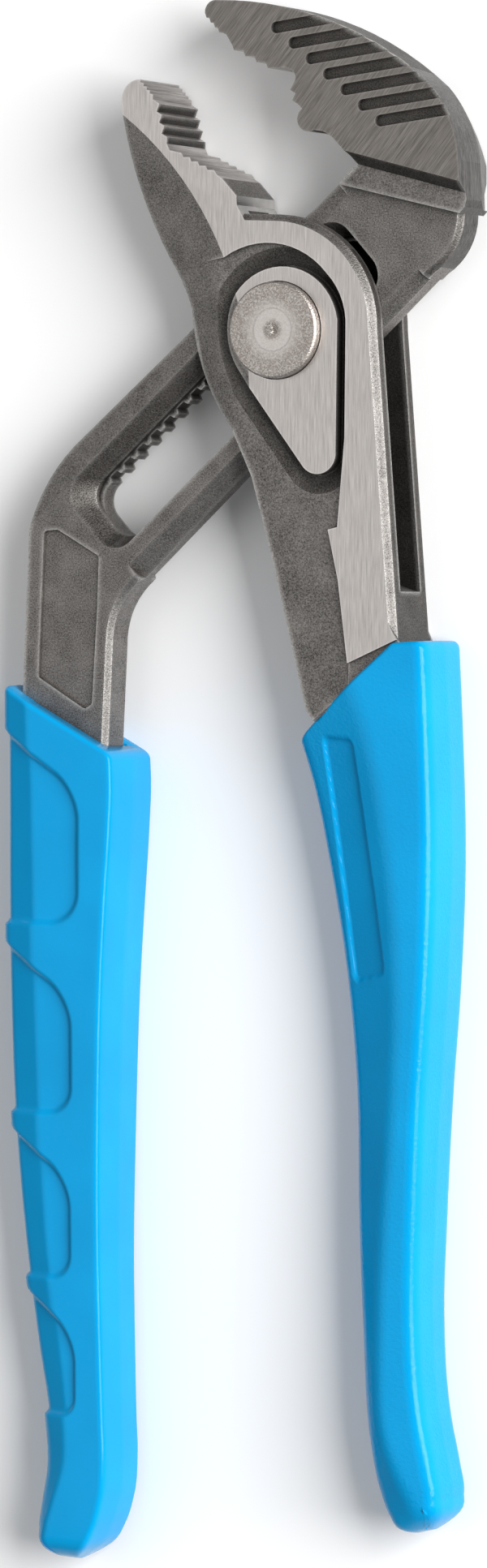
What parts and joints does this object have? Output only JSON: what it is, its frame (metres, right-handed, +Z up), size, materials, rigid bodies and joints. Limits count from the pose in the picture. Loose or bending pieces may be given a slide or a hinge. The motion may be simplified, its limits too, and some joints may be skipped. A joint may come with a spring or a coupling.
{
  "type": "tongue and groove pliers",
  "caption": "Adjustable pliers with toothed V jaws, a box joint sliding on a slotted toothed arm, a round push-button size lock and moulded hand grips.",
  "frame": {"origin": "on the pivot axis, in the plane that the tool rests on when it lies on its back", "axes": "+Z up out of the resting plane along the pivot axis, +Y from the handles to the jaws, +X to the slotted lever's jaw side"},
  "size_m": [0.0851, 0.2571, 0.0161],
  "materials": {
    "forged_steel": "drop-forged and shot-blasted, with ground faces on the jaws and cheeks",
    "blue_grip": "smooth dipped vinyl, satin to gloss",
    "turned_steel": "turned, lightly oiled",
    "blasted_steel": "fine blasted face with a bright edge",
    "spring_steel": "drawn wire and stamped strip, oiled"
  },
  "bodies": {
    "box_side": {"box_lever": "forged_steel", "right_grip": "blue_grip", "rear_cap": "blasted_steel"},
    "pivot": {"pivot_sleeve": "turned_steel", "retaining_ring": "spring_steel", "spring_washer": "turned_steel", "return_spring": "spring_steel"},
    "slot_side": {"slotted_lever": "forged_steel", "left_grip": "blue_grip"},
    "button": {"push_button": "blasted_steel"},
    "key": {"lock_key": "turned_steel"}
  },
  "joints": [
    {"name": "jaw_pivot", "type": "hinge", "parent": "box_side", "child": "pivot", "pos_m": [0, 0, 0.0075], "axis": [0, 0, 1], "range_deg": [-20, 6.5]},
    {"name": "size_slide", "type": "slide", "parent": "pivot", "child": "slot_side", "axis": [0.7431, 0.6691, 0], "range_m": [-0.0067, 0.0335]},
    {"name": "button_press", "type": "slide", "parent": "pivot", "child": "button", "axis": [0, 0, -1], "range_m": [0, 0.0012], "stiffness_N_per_m": 1500, "deforming": ["return_spring"]},
    {"name": "key_retract", "type": "slide", "parent": "pivot", "child": "key", "axis": [0.6691, -0.7431, 0], "range_m": [0, 0.0012]}
  ],
  "couplings": [
    {"joint": "key_retract", "follows": "button_press", "ratio": 1}
  ]
}
